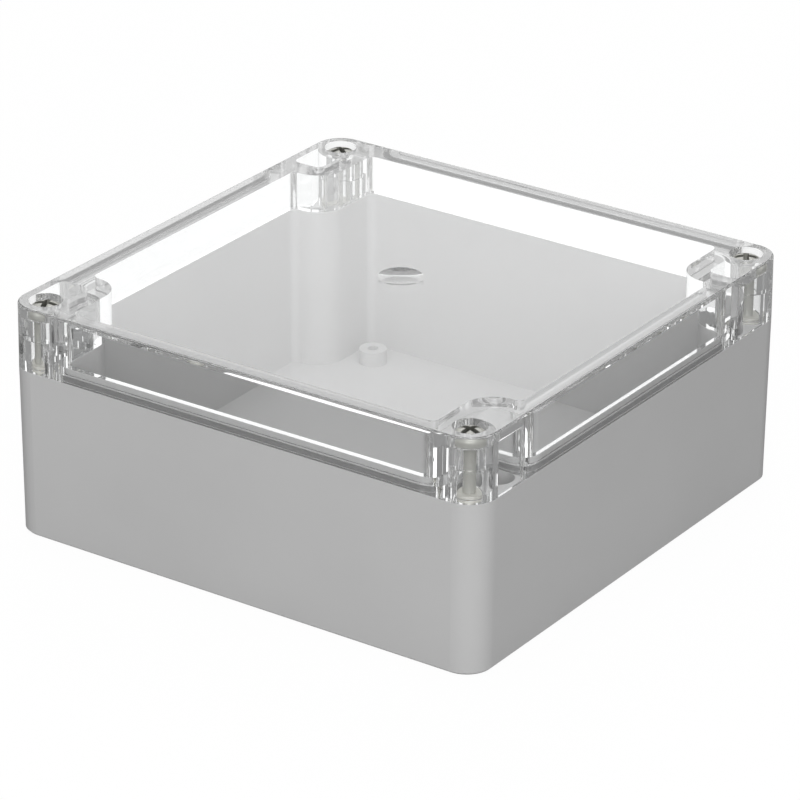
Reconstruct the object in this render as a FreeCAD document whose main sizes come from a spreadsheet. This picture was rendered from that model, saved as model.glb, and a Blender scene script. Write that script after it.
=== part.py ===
import FreeCAD, Part
import math
import os

import Sketcher

# A square two-part enclosure: a grey base and a clear lid that meet at the parting line.
# X runs left to right, Y front to back, Z up from the underside of the base.
# All lengths are in mm and all angles in degrees.
SIZES = {
    # whole case
    "width": 140.0,
    "depth": 140.0,
    "base_height": 45.0,
    "lid_height": 17.0,
    "corner_radius": 7.5,
    "draft_angle": 0.5,
    # lid section, all widths counted inward from the outer face
    "lid_wall": 6.0,
    "lid_plate": 3.1,
    "skirt_width": 1.6,
    "press_rib_width": 1.5,
    "lid_top_rounding": 0.6,
    "gate_dish_diameter": 11.6,
    "gate_dish_depth": 0.75,
    # seal
    "gasket_width": 1.6,
    "gasket_height": 1.6,
    "tongue_width": 2.25,
    "tongue_height": 3.15,
    # corner bays that keep the screws outside the seal
    "bay_width": 10.3,
    "bay_length": 21.0,
    "bay_rounding": 2.0,
    "bay_entry_rounding": 8.0,
    "bay_outer_wall": 1.5,
    # base
    "floor_thickness": 4.0,
    "base_edge_chamfer": 0.5,
    "standoff_inset_x": 23.5,
    "standoff_inset_y": 15.0,
    "standoff_diameter": 7.5,
    "standoff_height": 4.0,
    "pilot_diameter": 2.9,
    "pilot_depth": 6.0,
    # mounting holes, reached through the bays with the lid off
    "mount_inset_x": 7.0,
    "mount_inset_y": 17.5,
    "mount_hole_diameter": 4.5,
    "mount_head_diameter": 8.2,
    "mount_seat_height": 6.0,
    # lid screws
    "screw_inset": 7.2,
    "boss_diameter": 12.0,
    "head_diameter": 8.0,
    "head_height": 3.1,
    "head_bore_diameter": 8.6,
    "head_bore_depth": 3.7,
    "shank_diameter": 3.2,
    "shank_bore_diameter": 4.6,
    "thread_diameter": 4.0,
    "thread_length": 5.8,
    "recess_span": 4.4,
    "recess_slot": 1.0,
    "recess_depth": 1.8,
    # retaining washers and threaded inserts
    "washer_bore_diameter": 6.8,
    "washer_bore_height": 7.4,
    "washer_diameter": 6.2,
    "washer_thickness": 0.8,
    "insert_across_flats": 5.6,
    "insert_length": 8.0,
    "insert_sink": 0.4,
    # clearances
    "seat_gap": 0.05,
    "running_clearance": 0.05,
    "wide_clearance": 0.3,
}

CORNERS = {
    "front_left": (-1, -1),
    "front_right": (1, -1),
    "back_left": (-1, 1),
    "back_right": (1, 1),
}
SHARP = (0, 0, 0, 0)

doc = FreeCAD.newDocument("enclosure")
sheet = doc.addObject("Spreadsheet::Sheet", "sizes")
for row, (alias, value) in enumerate(SIZES.items(), start=1):
    sheet.set(f"A{row}", alias)
    sheet.set(f"B{row}", str(value))
    sheet.setAlias(f"B{row}", alias)
doc.recompute()


def size(alias):
    return float(sheet.get(alias))


half_x = size("width") / 2
half_y = size("depth") / 2
screw_x = half_x - size("screw_inset")
screw_y = half_y - size("screw_inset")
mount_x = half_x - size("mount_inset_x")
mount_y = half_y - size("mount_inset_y")
standoff_x = half_x - size("standoff_inset_x")
standoff_y = half_y - size("standoff_inset_y")
bay_x = half_x - size("bay_width")
bay_y = half_y - size("bay_length")

# Insets of the seal's rings from the outer face.
gasket_inset = size("skirt_width") + size("wide_clearance")
tongue_inset = gasket_inset + size("gasket_width")
cavity_inset = tongue_inset + size("tongue_width")
rib_inset = size("skirt_width") + size("press_rib_width")

# Levels.
parting = size("base_height")
case_top = parting + size("lid_height")
lid_foot = parting + size("seat_gap")
tongue_top = parting + size("tongue_height")
head_seat = case_top - size("head_bore_depth")


def new_body(label):
    body = doc.addObject("PartDesign::Body", label)
    body.Label = label
    return body


def new_sketch(body, name, level=0.0, role="XY_Plane"):
    """A sketch on one of the body's own planes, lifted along that plane's normal by the level."""
    sketch = body.newObject("Sketcher::SketchObject", name)
    plane = next(f for f in body.Origin.OriginFeatures if f.Role == role)
    sketch.AttachmentSupport = [(plane, "")]
    sketch.MapMode = "FlatFace"
    sketch.AttachmentOffset = FreeCAD.Placement(FreeCAD.Vector(0, 0, level), FreeCAD.Rotation())
    return sketch


def fix_geometry(sketch, pieces):
    for index in sketch.addGeometry(pieces, False):
        sketch.addConstraint(Sketcher.Constraint("Block", index))


def add_outline(sketch, corners):
    """Draws a closed outline from (x, y, rounding) corners listed counterclockwise."""
    pieces = []
    count = len(corners)
    arcs = []
    for i in range(count):
        before = FreeCAD.Vector(*corners[i - 1][:2], 0)
        here = FreeCAD.Vector(*corners[i][:2], 0)
        after = FreeCAD.Vector(*corners[(i + 1) % count][:2], 0)
        rounding = corners[i][2]
        if rounding <= 0:
            arcs.append((here, None, here))
            continue
        to_before = (before - here).normalize()
        to_after = (after - here).normalize()
        half_angle = to_before.getAngle(to_after) / 2
        reach = rounding / math.tan(half_angle)
        start = here + to_before * reach
        end = here + to_after * reach
        centre = here + (to_before + to_after).normalize() * (rounding / math.sin(half_angle))
        middle = centre + (here - centre).normalize() * rounding
        arcs.append((start, middle, end))
    for i in range(count):
        start, middle, end = arcs[i]
        if middle is not None:
            pieces.append(Part.Arc(start, middle, end))
        next_start = arcs[(i + 1) % count][0]
        if end.distanceToPoint(next_start) > 1e-6:
            pieces.append(Part.LineSegment(end, next_start))
    fix_geometry(sketch, pieces)


def add_circle(sketch, x, y, diameter_alias, clearance_alias=None):
    """Draws a circle whose diameter follows the sheet, with a clearance all round if one is named."""
    diameter = size(diameter_alias)
    formula = f"sizes.{diameter_alias}"
    if clearance_alias:
        diameter += 2 * size(clearance_alias)
        formula += f" + 2 * sizes.{clearance_alias}"
    circle = Part.Circle(FreeCAD.Vector(x, y, 0), FreeCAD.Vector(0, 0, 1), diameter / 2)
    index = sketch.addGeometry(circle, False)
    if abs(x) < 1e-9 and abs(y) < 1e-9:
        sketch.addConstraint(Sketcher.Constraint("Coincident", index, 3, -1, 1))
    else:
        sketch.addConstraint(Sketcher.Constraint("DistanceX", -1, 1, index, 3, x))
        sketch.addConstraint(Sketcher.Constraint("DistanceY", -1, 1, index, 3, y))
    across = sketch.addConstraint(Sketcher.Constraint("Diameter", index, diameter))
    sketch.setExpression(f"Constraints[{across}]", formula)


def mirrored(corners, sx, sy):
    """The same outline seen in another quadrant, still counterclockwise."""
    turned = [(sx * x, sy * y, rounding) for x, y, rounding in corners]
    return turned if sx * sy > 0 else turned[::-1]


def square(inset, rounding):
    x = half_x - inset
    y = half_y - inset
    return [(x, -y, rounding), (x, y, rounding), (-x, y, rounding), (-x, -y, rounding)]


def rectangle(x0, x1, y0, y1, roundings):
    """Corners in the order near-near, far-near, far-far, near-far."""
    return [(x0, y0, roundings[0]), (x1, y0, roundings[1]), (x1, y1, roundings[2]), (x0, y1, roundings[3])]


def hexagon(x, y, across_flats):
    """Corners of a hexagon with two flats facing front and back."""
    reach = across_flats / math.sqrt(3)
    corners = []
    for turn in range(0, 360, 60):
        angle = math.radians(turn)
        corners.append((x + reach * math.cos(angle), y + reach * math.sin(angle), 0))
    return corners


def sealed_outline(inset):
    """The line of the seal: straight along the walls, stepping inward round every corner bay."""
    outer = size("bay_entry_rounding") - inset
    inner = size("bay_rounding") + inset
    x = half_x - inset
    y = half_y - inset
    quarter = [
        (x, bay_y - inset, outer),
        (bay_x - inset, bay_y - inset, inner),
        (bay_x - inset, y, outer),
    ]
    corners = []
    for sx, sy in ((1, 1), (-1, 1), (-1, -1), (1, -1)):
        corners += mirrored(quarter, sx, sy)
    return corners


def at_corners(sketch, x, y, diameter_alias):
    for sx, sy in CORNERS.values():
        add_circle(sketch, sx * x, sy * y, diameter_alias)


def extrude(body, kind, sketch, name, length, reverse=False, taper=None):
    """A pad or pocket whose length is an expression over the sheet."""
    feature = body.newObject(f"PartDesign::{kind}", name)
    feature.Profile = sketch
    feature.Reversed = reverse
    feature.setExpression("Length", length)
    if taper:
        feature.setExpression("TaperAngle", taper)
    doc.recompute()
    return feature


def turn(body, kind, sketch, name):
    """A revolution or groove of a half section about the body's own upright axis."""
    feature = body.newObject(f"PartDesign::{kind}", name)
    feature.Profile = sketch
    feature.ReferenceAxis = (sketch, ["V_Axis"])
    feature.Angle = 360
    doc.recompute()
    return feature


def dress(body, kind, name, base, edges, width, alias):
    """A fillet or chamfer along the edges of the feature below it, its width tied to the sheet."""
    feature = body.newObject(f"PartDesign::{kind}", name)
    feature.Base = (base, edges)
    feature.setExpression(width, f"sizes.{alias}")
    doc.recompute()
    return feature


def edges_at(shape, level):
    """Names of the edges that lie wholly at a level."""
    names = []
    for i, edge in enumerate(shape.Edges, start=1):
        box = edge.BoundBox
        if abs(box.ZMin - level) < 1e-4 and abs(box.ZMax - level) < 1e-4:
            names.append(f"Edge{i}")
    return names


def make_base():
    body = new_body("base")

    # Drafted block, corner lands level with the parting line.
    outline = new_sketch(body, "base_outline", parting)
    add_outline(outline, square(0, size("corner_radius")))
    block = extrude(body, "Pad", outline, "base_block", "sizes.base_height",
                    reverse=True, taper="-sizes.draft_angle")
    dress(body, "Chamfer", "base_edge", block, edges_at(block.Shape, 0), "Size", "base_edge_chamfer")

    # Tongue of the seal, then the inside of the case down to the floor.
    tongue = new_sketch(body, "base_tongue_outline", parting)
    add_outline(tongue, sealed_outline(tongue_inset))
    extrude(body, "Pad", tongue, "base_tongue", "sizes.tongue_height")
    cavity = new_sketch(body, "base_cavity_outline", tongue_top)
    add_outline(cavity, sealed_outline(cavity_inset))
    extrude(body, "Pocket", cavity, "base_cavity",
            "sizes.base_height + sizes.tongue_height - sizes.floor_thickness")

    # Low standoffs for a circuit board, with blind pilot holes.
    standoffs = new_sketch(body, "standoff_circles", size("floor_thickness"))
    at_corners(standoffs, standoff_x, standoff_y, "standoff_diameter")
    extrude(body, "Pad", standoffs, "standoffs", "sizes.standoff_height")
    pilots = new_sketch(body, "pilot_circles", size("floor_thickness") + size("standoff_height"))
    at_corners(pilots, standoff_x, standoff_y, "pilot_diameter")
    extrude(body, "Pocket", pilots, "pilot_holes", "sizes.pilot_depth")

    # Hexagonal seats of the threaded inserts, and the stepped mounting holes.
    seats = new_sketch(body, "insert_seat_outlines", parting)
    for sx, sy in CORNERS.values():
        add_outline(seats, hexagon(sx * screw_x, sy * screw_y, size("insert_across_flats")))
    extrude(body, "Pocket", seats, "insert_seats", "sizes.insert_length + sizes.insert_sink")
    heads = new_sketch(body, "mount_head_circles", parting)
    at_corners(heads, mount_x, mount_y, "mount_head_diameter")
    extrude(body, "Pocket", heads, "mount_head_bores", "sizes.base_height - sizes.mount_seat_height")
    holes = new_sketch(body, "mount_hole_circles", size("mount_seat_height"))
    at_corners(holes, mount_x, mount_y, "mount_hole_diameter")
    extrude(body, "Pocket", holes, "mount_holes", "sizes.mount_seat_height")
    return body


def make_lid():
    body = new_body("lid")
    foot = new_sketch(body, "lid_outline", lid_foot)
    add_outline(foot, square(0, size("corner_radius")))
    block = extrude(body, "Pad", foot, "lid_block", "sizes.lid_height - sizes.seat_gap",
                    taper="-sizes.draft_angle")
    dress(body, "Fillet", "lid_edge", block, edges_at(block.Shape, case_top), "Radius", "lid_top_rounding")

    # Bays over the mounting holes, each closed toward its corner by a screw boss fused with the outer wall.
    bays = new_sketch(body, "bay_outline", lid_foot)
    outer = half_x - size("bay_outer_wall")
    rounding = size("bay_rounding")
    for sx, sy in CORNERS.values():
        bay = rectangle(bay_x, outer, bay_y, screw_y, (rounding, rounding, 0, 0))
        add_outline(bays, mirrored(bay, sx, sy))
    extrude(body, "Pocket", bays, "bays", "sizes.lid_height - sizes.lid_plate - sizes.seat_gap", reverse=True)
    bosses = new_sketch(body, "boss_circles", lid_foot)
    at_corners(bosses, screw_x, screw_y, "boss_diameter")
    extrude(body, "Pad", bosses, "bosses", "sizes.lid_height - sizes.lid_plate / 2 - sizes.seat_gap")

    # Underside from the outside inward: skirt, rib that presses the gasket, slot for the tongue, inside.
    for name, inset, length in (
        ("gasket_room", size("skirt_width"), "sizes.gasket_height"),
        ("tongue_slot", rib_inset, "sizes.tongue_height + sizes.wide_clearance - sizes.seat_gap"),
        ("lid_cavity", size("lid_wall"), "sizes.lid_height - sizes.lid_plate - sizes.seat_gap"),
    ):
        ring = new_sketch(body, f"{name}_outline", lid_foot)
        add_outline(ring, sealed_outline(inset))
        extrude(body, "Pocket", ring, name, length, reverse=True)

    # Stepped screw bores: head recess, narrow bore, and a wide bore where the retaining washer travels.
    shanks = new_sketch(body, "shank_bore_circles", case_top)
    at_corners(shanks, screw_x, screw_y, "shank_bore_diameter")
    extrude(body, "Pocket", shanks, "shank_bores", "sizes.lid_height")
    heads = new_sketch(body, "head_bore_circles", case_top)
    at_corners(heads, screw_x, screw_y, "head_bore_diameter")
    extrude(body, "Pocket", heads, "head_bores", "sizes.head_bore_depth")
    washers = new_sketch(body, "washer_bore_circles", lid_foot)
    at_corners(washers, screw_x, screw_y, "washer_bore_diameter")
    extrude(body, "Pocket", washers, "washer_bores", "sizes.washer_bore_height - sizes.seat_gap",
            reverse=True)

    # Shallow round dish over the moulding gate, in the middle of the top.
    dish = new_sketch(body, "gate_dish_section", 0.0, "XZ_Plane")
    radius = size("gate_dish_diameter") / 2
    depth = size("gate_dish_depth")
    sphere = (radius ** 2 + depth ** 2) / (2 * depth)
    middle_depth = depth - sphere + math.sqrt(sphere ** 2 - (radius / 2) ** 2)
    bottom = FreeCAD.Vector(0, case_top - depth, 0)
    middle = FreeCAD.Vector(radius / 2, case_top - middle_depth, 0)
    rim = FreeCAD.Vector(radius, case_top, 0)
    top = FreeCAD.Vector(0, case_top, 0)
    lines = [Part.LineSegment(rim, top), Part.LineSegment(top, bottom)]
    fix_geometry(dish, [Part.Arc(bottom, middle, rim)] + lines)
    turn(body, "Groove", dish, "gate_dish")
    return body


def make_gasket():
    """A cord swept round the foot of the tongue."""
    body = new_body("gasket")
    spine = new_sketch(body, "gasket_path", parting)
    add_outline(spine, sealed_outline(gasket_inset + size("gasket_width") / 2))
    section = new_sketch(body, "gasket_section", 0.0, "XZ_Plane")
    outer = half_x - gasket_inset
    inner = outer - size("gasket_width")
    add_outline(section, rectangle(inner, outer, parting, parting + size("gasket_height"), SHARP))
    pipe = body.newObject("PartDesign::AdditivePipe", "gasket_cord")
    pipe.Profile = section
    pipe.Spine = (spine, [f"Edge{i + 1}" for i in range(len(spine.Shape.Edges))])
    pipe.Transition = "Round corner"
    doc.recompute()
    return body


def place(body, sx, sy, level):
    """Puts a turned piece on its screw axis, tied to the sheet."""
    body.setExpression("Placement.Base.x", f"{sx} * (sizes.width / 2 - sizes.screw_inset)")
    body.setExpression("Placement.Base.y", f"{sy} * (sizes.depth / 2 - sizes.screw_inset)")
    body.setExpression("Placement.Base.z", level)
    doc.recompute()


def make_screw(corner, sx, sy):
    """A captive lid screw: the shank is slimmer than the thread. Height zero is the underside of the head."""
    body = new_body(f"screw_{corner}")
    head = size("head_diameter") / 2
    shank = size("shank_diameter") / 2
    thread = size("thread_diameter") / 2
    top = size("head_height")
    shoulder = parting - head_seat
    tip = shoulder - size("thread_length")
    section = new_sketch(body, f"screw_{corner}_section", 0.0, "XZ_Plane")
    add_outline(section, [
        (0, tip, 0), (thread, tip, 0), (thread, shoulder, 0), (shank, shoulder, 0),
        (shank, 0, 0), (head, 0, 0), (head, top, 0), (0, top, 0),
    ])
    turn(body, "Revolution", section, f"screw_{corner}_turned")
    cross = new_sketch(body, f"recess_{corner}_outline", top)
    long = size("recess_span") / 2
    slot = size("recess_slot") / 2
    add_outline(cross, [
        (long, -slot, 0), (long, slot, 0), (slot, slot, 0), (slot, long, 0),
        (-slot, long, 0), (-slot, slot, 0), (-long, slot, 0), (-long, -slot, 0),
        (-slot, -slot, 0), (-slot, -long, 0), (slot, -long, 0), (slot, -slot, 0),
    ])
    extrude(body, "Pocket", cross, f"recess_{corner}", "sizes.recess_depth")
    place(body, sx, sy, "sizes.base_height + sizes.lid_height - sizes.head_bore_depth + sizes.seat_gap")
    return body


def make_washer(corner, sx, sy):
    """A thin ring snug on the screw's shank, resting just above the shoulder of the thread."""
    body = new_body(f"washer_{corner}")
    ring = new_sketch(body, f"washer_{corner}_circles")
    add_circle(ring, 0, 0, "washer_diameter")
    add_circle(ring, 0, 0, "shank_diameter", "running_clearance")
    extrude(body, "Pad", ring, f"washer_{corner}_ring", "sizes.washer_thickness")
    place(body, sx, sy, "sizes.base_height + 2 * sizes.seat_gap")
    return body


def make_insert(corner, sx, sy):
    """A hexagonal brass barrel with a threaded bore. Height zero is its lower end."""
    body = new_body(f"insert_{corner}")
    barrel = new_sketch(body, f"insert_{corner}_outlines")
    add_outline(barrel, hexagon(0, 0, size("insert_across_flats")))
    add_circle(barrel, 0, 0, "thread_diameter", "running_clearance")
    extrude(body, "Pad", barrel, f"insert_{corner}_barrel", "sizes.insert_length")
    place(body, sx, sy, "sizes.base_height - sizes.insert_sink - sizes.insert_length")
    return body


parts = [make_base(), make_lid(), make_gasket()]
for corner, (sx, sy) in CORNERS.items():
    parts.append(make_screw(corner, sx, sy))
    parts.append(make_washer(corner, sx, sy))
    parts.append(make_insert(corner, sx, sy))
doc.recompute()

for item in doc.Objects:
    if any(word in item.State for word in ("Invalid", "Error")):
        raise RuntimeError(f"{item.Name} did not rebuild: {item.State}")

os.makedirs("parts", exist_ok=True)
for part in parts:
    shape = part.Shape
    if shape.isNull() or not shape.isValid() or shape.Volume <= 0:
        raise RuntimeError(f"{part.Label} has no sound shape")
    if len(shape.Solids) != 1:
        raise RuntimeError(f"{part.Label} is not one solid")
    box = shape.BoundBox
    print(f"{part.Label:22s} {shape.Volume:10.1f} mm3  x {box.XMin:.2f} {box.XMax:.2f}"
          f"  y {box.YMin:.2f} {box.YMax:.2f}  z {box.ZMin:.2f} {box.ZMax:.2f}")
    shape.exportStep(f"parts/{part.Label}.step")
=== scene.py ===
import math

import bmesh
import bpy
from mathutils import Matrix, Vector


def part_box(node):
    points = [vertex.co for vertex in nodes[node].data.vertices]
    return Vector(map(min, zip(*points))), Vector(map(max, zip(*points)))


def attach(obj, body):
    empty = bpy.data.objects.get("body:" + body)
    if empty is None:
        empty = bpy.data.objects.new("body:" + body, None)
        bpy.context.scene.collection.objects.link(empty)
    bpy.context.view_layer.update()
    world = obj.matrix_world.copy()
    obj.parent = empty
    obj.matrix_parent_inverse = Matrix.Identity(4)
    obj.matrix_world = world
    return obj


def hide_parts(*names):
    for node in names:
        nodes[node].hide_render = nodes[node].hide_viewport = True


MM = 0.001
CORNERS = ("front_left", "front_right", "back_left", "back_right")

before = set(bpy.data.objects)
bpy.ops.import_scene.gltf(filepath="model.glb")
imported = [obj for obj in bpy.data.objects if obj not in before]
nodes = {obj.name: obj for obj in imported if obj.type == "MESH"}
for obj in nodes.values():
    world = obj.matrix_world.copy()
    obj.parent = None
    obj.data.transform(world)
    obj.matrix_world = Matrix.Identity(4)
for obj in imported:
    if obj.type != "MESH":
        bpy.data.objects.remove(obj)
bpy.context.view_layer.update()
scene = bpy.context.scene


# Node helpers

def grey(value):
    return (value, value, value, 1)


def add_node(tree, kind, **values):
    """A new node; each value goes to the socket of that name, or else to the setting of that name."""
    node = tree.nodes.new(kind)
    for name, value in values.items():
        if name in node.inputs:
            node.inputs[name].default_value = value
        else:
            setattr(node, name, value)
    return node


def larger(tree, first, second):
    node = add_node(tree, "ShaderNodeMath", operation="MAXIMUM")
    tree.links.new(first, node.inputs[0])
    tree.links.new(second, node.inputs[1])
    return node.outputs[0]


def times(tree, value, factor):
    node = add_node(tree, "ShaderNodeMath", operation="MULTIPLY")
    tree.links.new(value, node.inputs[0])
    node.inputs[1].default_value = factor
    return node.outputs[0]


def mix_shaders(tree, share, first, second):
    """The first shader where the share is none, the second where it is one."""
    node = add_node(tree, "ShaderNodeMixShader")
    tree.links.new(share, node.inputs[0])
    tree.links.new(first, node.inputs[1])
    tree.links.new(second, node.inputs[2])
    return node.outputs[0]


# Materials

BUMP_DETAIL = 2.0
MOTTLE_DETAIL = 3.0
MOTTLE_FROM = 0.35
MOTTLE_TO = 0.65
PASSED_LIGHT = 0.99


def shader_of(material):
    return material.node_tree.nodes["Principled BSDF"]


def new_material(name, colour, roughness, **sockets):
    """A material whose plain values sit on the shader's own sockets."""
    material = bpy.data.materials.new(name)
    material.use_nodes = True
    shader = shader_of(material)
    shader.inputs["Base Color"].default_value = (*colour, 1)
    shader.inputs["Roughness"].default_value = roughness
    for socket, value in sockets.items():
        shader.inputs[socket].default_value = value
    return material


def add_noise(tree, scale, detail):
    """Noise that sits still on the object, its scale counted per metre."""
    place = add_node(tree, "ShaderNodeTexCoord")
    noise = add_node(tree, "ShaderNodeTexNoise", Scale=scale, Detail=detail)
    tree.links.new(place.outputs["Object"], noise.inputs["Vector"])
    return noise.outputs["Fac"]


def add_bump(material, scale, strength, distance):
    """Fine surface grain, its depth in metres."""
    tree = material.node_tree
    bump = add_node(tree, "ShaderNodeBump", Strength=strength, Distance=distance)
    tree.links.new(add_noise(tree, scale, BUMP_DETAIL), bump.inputs["Height"])
    tree.links.new(bump.outputs["Normal"], shader_of(material).inputs["Normal"])


def add_mottle(material, low, high, scale):
    """Slow variation of the colour between two greys."""
    tree = material.node_tree
    ramp = add_node(tree, "ShaderNodeValToRGB")
    dark, light = ramp.color_ramp.elements
    dark.position = MOTTLE_FROM
    light.position = MOTTLE_TO
    dark.color = grey(low)
    light.color = grey(high)
    tree.links.new(add_noise(tree, scale, MOTTLE_DETAIL), ramp.inputs["Fac"])
    tree.links.new(ramp.outputs["Color"], shader_of(material).inputs["Base Color"])


def let_light_through(material):
    """Shadow rays and light off matt surfaces cross the plastic straight, so the inside is lit."""
    tree = material.node_tree
    path = add_node(tree, "ShaderNodeLightPath")
    straight = larger(tree, path.outputs["Is Shadow Ray"], path.outputs["Is Diffuse Ray"])
    open_way = add_node(tree, "ShaderNodeBsdfTransparent", Color=grey(PASSED_LIGHT))
    surface = mix_shaders(tree, straight, shader_of(material).outputs[0], open_way.outputs[0])
    tree.links.new(surface, tree.nodes["Material Output"].inputs["Surface"])


def paint(obj, material):
    obj.data.materials.clear()
    obj.data.materials.append(material)


base_grey = new_material("moulded grey", (0.5, 0.5, 0.5), roughness=0.42)
add_bump(base_grey, scale=2600, strength=0.08, distance=0.00004)
add_mottle(base_grey, low=0.49, high=0.51, scale=22)

clear = new_material("clear polycarbonate", (0.985, 0.99, 0.99), roughness=0.0,
                     IOR=1.585, **{"Transmission Weight": 1.0})
let_light_through(clear)

rubber = new_material("seal rubber", (0.2, 0.2, 0.2), roughness=0.7)
add_bump(rubber, scale=1800, strength=0.2, distance=0.00005)

steel = new_material("satin steel", (0.56, 0.56, 0.525), roughness=0.4, Metallic=0.5)
add_bump(steel, scale=5000, strength=0.08, distance=0.00002)

# Darker steel for the faces of the cross recess: painted shade where less light reaches into the
# hollow
recess_shade_steel = new_material("steel with painted shade in the recess", (0.22, 0.22, 0.2), roughness=0.5, Metallic=0.7)
add_bump(recess_shade_steel, scale=4000, strength=0.15, distance=0.00003)

brass = new_material("turned brass", (0.78, 0.57, 0.26), roughness=0.3, Metallic=1.0)
add_bump(brass, scale=4000, strength=0.08, distance=0.00002)

nylon = new_material("natural nylon", (0.55, 0.545, 0.505), roughness=0.45)
add_bump(nylon, scale=2500, strength=0.1, distance=0.00003)

paint(nodes["base"], base_grey)
paint(nodes["lid"], clear)
paint(nodes["gasket"], rubber)
for corner in CORNERS:
    paint(nodes[f"washer_{corner}"], nylon)
    paint(nodes[f"insert_{corner}"], brass)


# Lid screws with a domed head, a tapered cross recess and a thread
# Lengths are in mm, and heights count from the underside of the head

HEAD_RADIUS = 4.0
HEAD_HEIGHT = 3.1
HEAD_SIDE = 1.3
HEAD_EDGE = 0.15
DOME_RINGS = 9

RECESS_REACH = 2.85
RECESS_HALF_SLOT = 0.62
RECESS_DEPTH = 2.2
RECESS_LIP = 0.1
# Rings of the recess from its rim down: reach of an arm, half its width, depth
RECESS_RINGS = (
    (RECESS_REACH + RECESS_LIP, RECESS_HALF_SLOT + RECESS_LIP, 0),
    (RECESS_REACH, RECESS_HALF_SLOT, RECESS_LIP),
    (RECESS_REACH * 0.9, RECESS_HALF_SLOT * 0.95, 0.7),
    (RECESS_REACH * 0.68, RECESS_HALF_SLOT * 0.85, 1.4),
    (RECESS_REACH * 0.42, RECESS_HALF_SLOT * 0.75, RECESS_DEPTH - 0.2),
)
TIP_STEPS = 4
SIDE_STEPS = 6

SHANK_RADIUS = 1.6
SHOULDER = -13.3
SHOULDER_STEP = 0.1
THREAD_RADIUS = 1.98
THREAD_ROOT = 1.62
THREAD_LENGTH = 5.78
THREAD_RINGS = 84
PITCH = 0.7
RIDGE_PEAK = 1.25
SHOULDER_FADE = 0.3
TIP_FADE = 0.5
TIP_LEAD = 0.1
TIP_CHAMFER = 0.35

# Material slots of the screw: plain steel, and the darker steel that paints shade into the recess
BRIGHT_SLOT = 0
RECESS_SHADE_SLOT = 1
NO_ANGLE = 1e-9
RECESS_TURNS = {"front_left": 0.35, "front_right": -0.185, "back_left": 1.0, "back_right": 0.55}


def cross_angles():
    """Directions round the axis that catch every corner of the cross."""
    tip = math.atan2(RECESS_HALF_SLOT, RECESS_REACH)
    spans = (
        (-math.pi / 4, -tip, SIDE_STEPS),
        (-tip, tip, TIP_STEPS),
        (tip, math.pi / 4, SIDE_STEPS),
    )
    quarter = []
    for start, end, steps in spans:
        quarter += [start + (end - start) * step / steps for step in range(steps)]
    return [arm * math.pi / 2 + angle for arm in range(4) for angle in quarter]


def cross_radius(angle, reach, half_slot):
    """How far a cross of four equal arms reaches in a direction."""
    from_arm = (angle + math.pi / 4) % (math.pi / 2) - math.pi / 4
    to_tip = reach / math.cos(from_arm)
    aside = abs(math.sin(from_arm))
    if aside < NO_ANGLE:
        return to_tip
    return min(to_tip, half_slot / aside)


def dome_height(radius):
    share = min(1.0, radius / HEAD_RADIUS)
    return HEAD_SIDE + (HEAD_HEIGHT - HEAD_SIDE) * math.sqrt(1 - share * share)


def thread_radius(angle, height):
    """A ridge that winds down the screw, lower toward the shoulder and the chamfered tip."""
    phase = ((height - SHOULDER) / PITCH - angle / (2 * math.pi)) % 1
    ridge = min(1, max(0, RIDGE_PEAK - 2 * RIDGE_PEAK * abs(phase - 0.5)))
    below_shoulder = SHOULDER - height
    above_tip = THREAD_LENGTH - below_shoulder
    fade = min(1, below_shoulder / SHOULDER_FADE, (above_tip + TIP_LEAD) / TIP_FADE)
    raised = (THREAD_RADIUS - THREAD_ROOT) * ridge * fade
    return THREAD_ROOT + raised + min(0, above_tip - TIP_CHAMFER)


def ring_of(bm, angles, radius_at, height_at):
    """Points round the axis; radius may change with direction, and height with radius."""
    points = []
    for angle in angles:
        radius = radius_at(angle)
        place = Vector((radius * math.cos(angle), radius * math.sin(angle), height_at(radius)))
        points.append(bm.verts.new(place * MM))
    return points


def level_ring(bm, angles, radius, height):
    return ring_of(bm, angles, lambda angle: radius, lambda reached: height)


def thread_ring(bm, angles, height):
    return ring_of(bm, angles, lambda angle: thread_radius(angle, height), lambda reached: height)


def recess_ring(bm, angles, reach, half_slot, depth):
    """One ring of the cross: its rim and lip follow the dome, and deeper rings are level."""
    on_dome = depth <= RECESS_LIP
    return ring_of(bm, angles, lambda angle: cross_radius(angle, reach, half_slot),
                   lambda reached: (dome_height(reached) if on_dome else HEAD_HEIGHT) - depth)


def skin(bm, lower, upper, in_recess):
    for i in range(len(lower)):
        j = (i + 1) % len(lower)
        face = bm.faces.new((lower[i], lower[j], upper[j], upper[i]))
        face.smooth = not in_recess
        # Recess faces get the darker steel, painted shade in the hollow
        face.material_index = RECESS_SHADE_SLOT if in_recess else BRIGHT_SLOT


def cap(bm, ring, height, upward, slot):
    middle = bm.verts.new((0, 0, height * MM))
    for i in range(len(ring)):
        j = (i + 1) % len(ring)
        corners = (ring[i], ring[j], middle) if upward else (ring[j], ring[i], middle)
        bm.faces.new(corners).material_index = slot


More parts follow.
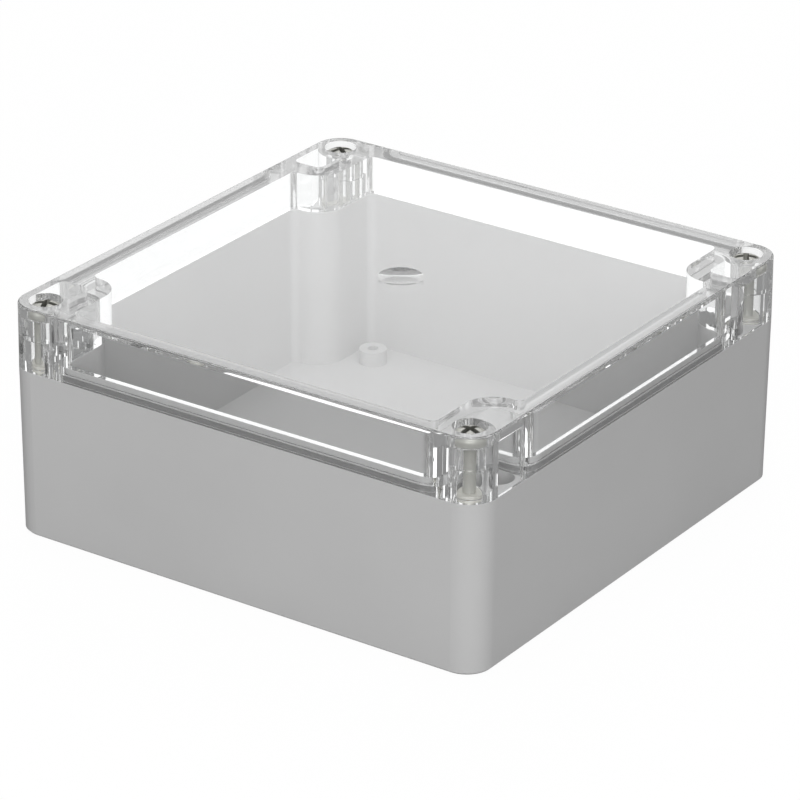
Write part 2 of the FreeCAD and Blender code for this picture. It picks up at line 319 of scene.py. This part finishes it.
def make_screw_mesh():
    bm = bmesh.new()
    angles = cross_angles()
    tip = SHOULDER - THREAD_LENGTH
    turned = [level_ring(bm, angles, THREAD_ROOT - TIP_CHAMFER, tip)]
    for step in range(1, THREAD_RINGS + 1):
        turned.append(thread_ring(bm, angles, tip + THREAD_LENGTH * step / THREAD_RINGS))
    for radius, height in (
        (SHANK_RADIUS, SHOULDER + SHOULDER_STEP),
        (SHANK_RADIUS, -HEAD_EDGE),
        (SHANK_RADIUS + HEAD_EDGE, 0),
        (HEAD_RADIUS - HEAD_EDGE, 0),
        (HEAD_RADIUS, HEAD_EDGE),
    ):
        turned.append(level_ring(bm, angles, radius, height))
    start = math.asin((RECESS_REACH + 2 * RECESS_LIP) / HEAD_RADIUS)
    for step in range(DOME_RINGS + 1):
        around = math.pi / 2 + (start - math.pi / 2) * step / DOME_RINGS
        radius = HEAD_RADIUS * math.sin(around)
        turned.append(level_ring(bm, angles, radius, dome_height(radius)))
    recess = [recess_ring(bm, angles, *row) for row in RECESS_RINGS]
    rings = turned + recess
    for i in range(len(rings) - 1):
        skin(bm, rings[i], rings[i + 1], in_recess=i >= len(turned))
    cap(bm, rings[0], tip, upward=False, slot=BRIGHT_SLOT)
    # The floor of the recess takes the painted shade too
    cap(bm, rings[-1], HEAD_HEIGHT - RECESS_DEPTH, upward=True, slot=RECESS_SHADE_SLOT)
    mesh = bpy.data.meshes.new("lid screw")
    bm.to_mesh(mesh)
    bm.free()
    mesh.materials.append(steel)
    mesh.materials.append(recess_shade_steel)
    return mesh


screw_mesh = make_screw_mesh()
for corner in CORNERS:
    box_low, box_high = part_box(f"screw_{corner}")
    screw = bpy.data.objects.new(f"lid_screw_{corner}", screw_mesh)
    scene.collection.objects.link(screw)
    middle = (box_low + box_high) / 2
    screw.location = (middle.x, middle.y, box_high.z - HEAD_HEIGHT * MM)
    screw.rotation_euler.z = RECESS_TURNS[corner]
    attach(screw, f"screw_{corner}")
    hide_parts(f"screw_{corner}")


# Camera, from the photo's own perspective

AZIMUTH = math.radians(34.402)
ELEVATION = math.radians(24.872)
ROLL = math.radians(0.423)
EYE = Vector((572.97, -836.65, 498.11)) * MM
SENSOR_MM = 36
LENS_MM = 199.07
NEAR = 0.01
FAR = 10

back = Vector((math.sin(AZIMUTH) * math.cos(ELEVATION),
               -math.cos(AZIMUTH) * math.cos(ELEVATION),
               math.sin(ELEVATION)))
level_right = Vector((math.cos(AZIMUTH), math.sin(AZIMUTH), 0))
level_up = back.cross(level_right)
right = level_right * math.cos(ROLL) + level_up * math.sin(ROLL)
up = level_up * math.cos(ROLL) - level_right * math.sin(ROLL)
camera = bpy.data.objects.new("camera", bpy.data.cameras.new("camera"))
scene.collection.objects.link(camera)
turn = Matrix((right, up, back)).transposed().to_4x4()
camera.matrix_world = Matrix.Translation(EYE) @ turn
camera.data.sensor_width = SENSOR_MM
camera.data.lens = LENS_MM
camera.data.clip_start = NEAR
camera.data.clip_end = FAR
scene.camera = camera


# Floor, world and lamps

STUDIO_WHITE = 1.0
STUDIO_GREY = 0.25
AMBIENT = 0.41
FLOOR_SIZE = 4
FLOOR_DROP = 0.0002
FLOOR_GREY = 0.43
FLOOR_GLOW = 1.06
FLOOR_GLOW_SHARE = 0.9


def studio_tone(tree):
    """White for rays that come straight or bent from the camera, grey once a ray was mirrored."""
    path = add_node(tree, "ShaderNodeLightPath")
    tone = add_node(tree, "ShaderNodeMapRange", **{"To Min": STUDIO_WHITE, "To Max": STUDIO_GREY})
    tree.links.new(path.outputs["Glossy Depth"], tone.inputs["Value"])
    return tone.outputs[0]


def seen_directly(tree):
    """One for camera rays and for what metal and clear plastic show, none for light on surfaces."""
    path = add_node(tree, "ShaderNodeLightPath")
    shown = larger(tree, path.outputs["Is Camera Ray"], path.outputs["Is Glossy Ray"])
    return larger(tree, shown, path.outputs["Is Transmission Ray"])


def make_floor():
    """A matt floor that takes the object's shadow under a glow that only seen rays meet."""
    bm = bmesh.new()
    bmesh.ops.create_grid(bm, x_segments=1, y_segments=1, size=FLOOR_SIZE)
    mesh = bpy.data.meshes.new("floor")
    bm.to_mesh(mesh)
    bm.free()
    floor = bpy.data.objects.new("floor", mesh)
    floor.location.z = -FLOOR_DROP
    scene.collection.objects.link(floor)
    white = bpy.data.materials.new("white floor")
    white.use_nodes = True
    tree = white.node_tree
    tree.nodes.clear()
    diffuse = add_node(tree, "ShaderNodeBsdfDiffuse", Color=grey(FLOOR_GREY))
    glow = add_node(tree, "ShaderNodeEmission")
    tree.links.new(times(tree, studio_tone(tree), FLOOR_GLOW), glow.inputs["Strength"])
    share = times(tree, seen_directly(tree), FLOOR_GLOW_SHARE)
    out = add_node(tree, "ShaderNodeOutputMaterial")
    surface = mix_shaders(tree, share, diffuse.outputs[0], glow.outputs[0])
    tree.links.new(surface, out.inputs["Surface"])
    paint(floor, white)


def make_world():
    """Plain light all round; rays that are seen meet the studio's tone in its place."""
    world = bpy.data.worlds.new("world")
    scene.world = world
    world.use_nodes = True
    tree = world.node_tree
    ground = tree.nodes["Background"]
    ground.inputs["Color"].default_value = grey(1)
    span = add_node(tree, "ShaderNodeMapRange", **{"To Min": AMBIENT})
    tree.links.new(studio_tone(tree), span.inputs["To Max"])
    tree.links.new(seen_directly(tree), span.inputs["Value"])
    tree.links.new(span.outputs[0], ground.inputs["Strength"])


def add_lamp(name, place, size, power, seen=True):
    """A square soft lamp aimed at the part; an unseen one leaves no glare on metal or plastic."""
    lamp = bpy.data.lights.new(name, "AREA")
    lamp.size = size
    lamp.energy = power
    obj = bpy.data.objects.new(name, lamp)
    obj.location = place
    obj.rotation_mode = "QUATERNION"
    obj.rotation_quaternion = (-Vector(place)).to_track_quat("-Z", "Y")
    obj.visible_glossy = seen
    obj.visible_transmission = seen
    scene.collection.objects.link(obj)


make_floor()
make_world()
add_lamp("front", place=(0.93, -1.36, 0.95), size=1.7, power=16.5, seen=False)
add_lamp("front panel", place=(0.84, -1.23, 0.86), size=1.4, power=8.5)
add_lamp("top", place=(0, 0, 1.6), size=0.9, power=6)
add_lamp("back", place=(-1.03, 1.51, 1.05), size=1.8, power=8, seen=False)
add_lamp("back panel", place=(-0.95, 1.39, 0.82), size=1.3, power=6.1)

# The clear plate carries light from edge to edge, mirrored many times between its faces
BOUNCES = 160
scene.cycles.max_bounces = BOUNCES
scene.cycles.glossy_bounces = BOUNCES
scene.cycles.transmission_bounces = BOUNCES

scene.view_settings.view_transform = "Standard"
